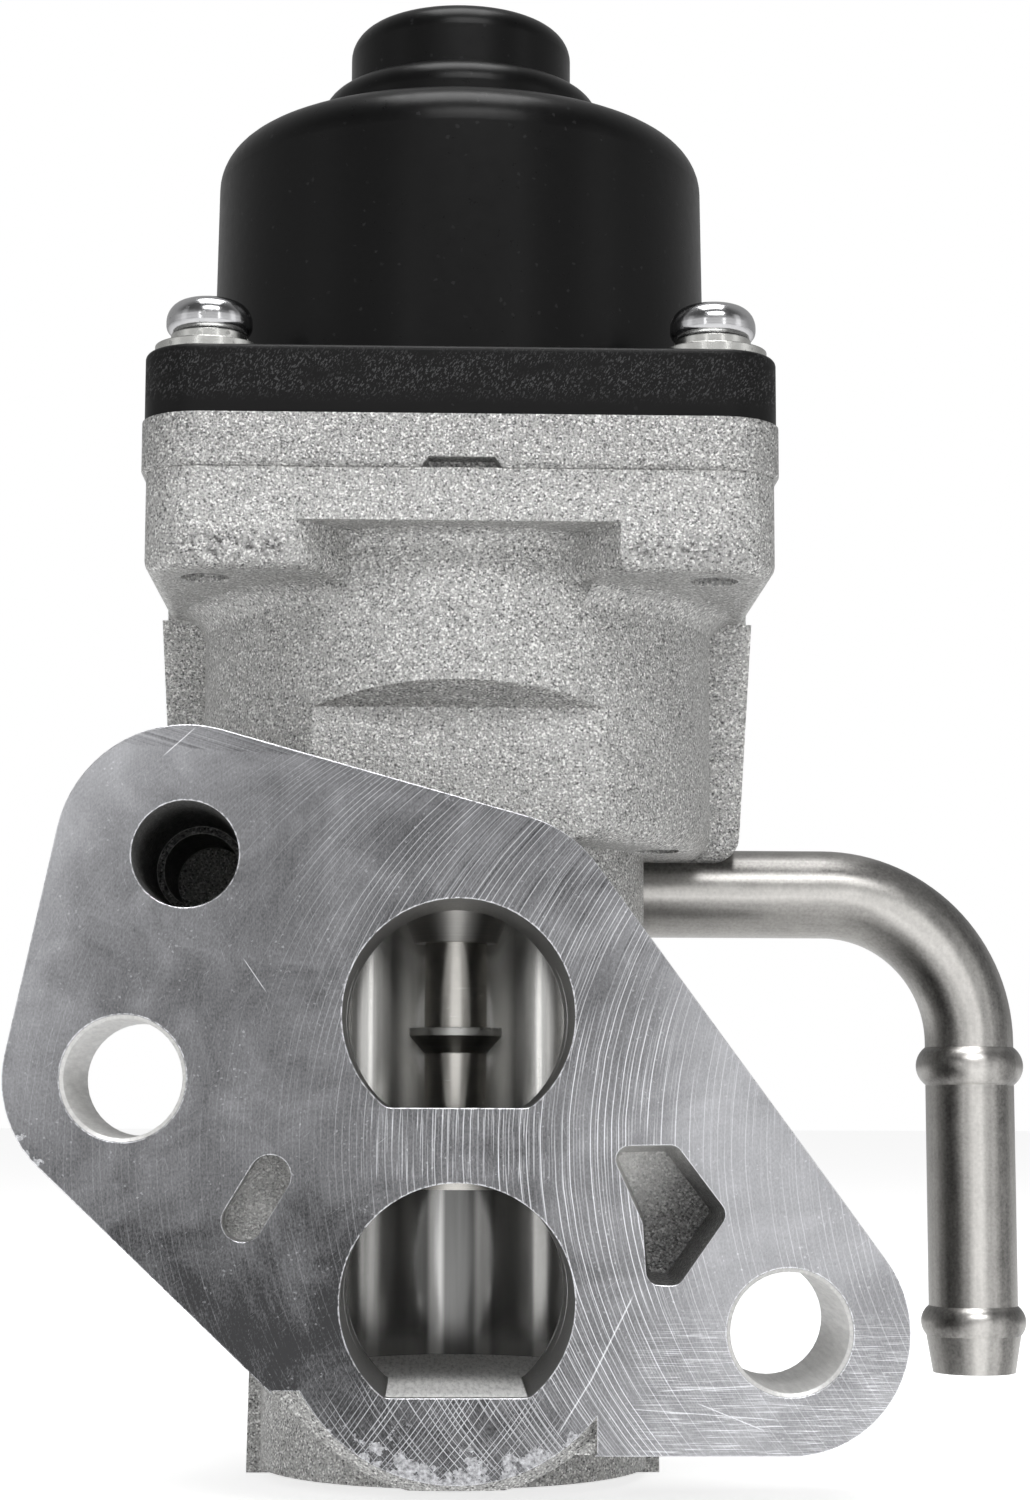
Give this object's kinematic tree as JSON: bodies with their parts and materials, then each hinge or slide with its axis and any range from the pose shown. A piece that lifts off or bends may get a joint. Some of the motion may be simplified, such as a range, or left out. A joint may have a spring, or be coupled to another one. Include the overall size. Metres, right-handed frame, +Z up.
{
  "type": "egr valve",
  "caption": "Water-cooled exhaust gas recirculation valve: flanged cast body with gas ports and a coolant pipe, and a poppet worked by a stepping motor on top.",
  "frame": {"origin": "the middle of the web between the two gas ports, on the machined flange face", "axes": "+Z up along the valve's lift towards the motor, -Y out of the flange face, +X towards the coolant pipe"},
  "size_m": [0.0878, 0.0641, 0.1299],
  "materials": {
    "cast_body": "shot-blasted casting with machined faces",
    "pipe_steel": "satin drawn tube",
    "seat_steel": "turned",
    "turned_aluminium": "turned",
    "guide_steel": "turned",
    "seal_rubber": "matt",
    "valve_steel": "ground",
    "pressed_steel": "pressed",
    "spring_steel": "drawn wire",
    "die_cast_plate": "shot-blasted casting",
    "black_moulding": "glossy black moulding",
    "tinned_terminals": "tinned",
    "plated_fasteners": "zinc plated",
    "guide_plastic": "natural",
    "screw_steel": "rolled thread",
    "bearing_steel": "polished",
    "cage_plastic": "natural",
    "hub_plastic": "moulded",
    "nut_brass": "turned",
    "magnet": "pressed ferrite",
    "bush_bronze": "sintered bronze",
    "stator_steel": "pressed, zinc plated",
    "bobbin_plastic": "moulded",
    "copper_winding": "enamelled copper wire"
  },
  "bodies": {
    "housing": {"valve_body": "cast_body", "coolant_pipe": "pipe_steel", "valve_seat": "seat_steel", "guide_carrier": "turned_aluminium", "stem_guide_bush": "guide_steel", "stem_seal": "seal_rubber", "spacer_plate": "die_cast_plate", "motor_housing": "black_moulding", "housing_seal": "seal_rubber", "connector_terminals": "tinned_terminals", "motor_screws": "plated_fasteners", "spring_washers": "plated_fasteners", "flat_washers": "plated_fasteners", "shaft_guide": "guide_plastic", "bearing_outer_race": "bearing_steel", "upper_bush": "bush_bronze", "lower_stator_cup": "stator_steel", "lower_pole_plate": "stator_steel", "lower_bobbin": "bobbin_plastic", "lower_coil": "copper_winding", "upper_stator_cup": "stator_steel", "upper_pole_plate": "stator_steel", "upper_bobbin": "bobbin_plastic", "upper_coil": "copper_winding"},
    "rotor": {"rotor_hub": "hub_plastic", "rotor_nut": "nut_brass", "rotor_magnet": "magnet", "bearing_inner_race": "bearing_steel"},
    "ball_cage": {"bearing_balls": "bearing_steel", "bearing_cage": "cage_plastic"},
    "lead_screw": {"motor_shaft": "screw_steel"},
    "valve": {"valve_stem": "valve_steel", "valve_head": "valve_steel", "stem_shield": "valve_steel", "spring_retainer": "pressed_steel", "retainer_clip": "pressed_steel", "return_spring": "spring_steel"}
  },
  "joints": [
    {"name": "rotor_spin", "type": "hinge", "parent": "housing", "child": "rotor", "pos_m": [0, 0.0267, 0.06], "axis": [0, 0, 1], "range_deg": [0, 780]},
    {"name": "cage_spin", "type": "hinge", "parent": "housing", "child": "ball_cage", "pos_m": [0, 0.0267, 0.06], "axis": [0, 0, 1], "range_deg": [0, 310]},
    {"name": "shaft_travel", "type": "slide", "parent": "housing", "child": "lead_screw", "axis": [0, 0, -1], "range_m": [0, 0.00468]},
    {"name": "valve_lift", "type": "slide", "parent": "housing", "child": "valve", "axis": [0, 0, -1], "range_m": [0, 0.00468], "deforming": ["return_spring"]}
  ],
  "couplings": [
    {"joint": "cage_spin", "follows": "rotor_spin", "ratio": 0.39655},
    {"joint": "shaft_travel", "follows": "rotor_spin", "m_per_rad": 0.00034377},
    {"joint": "valve_lift", "follows": "rotor_spin", "m_per_rad": 0.00034377}
  ]
}
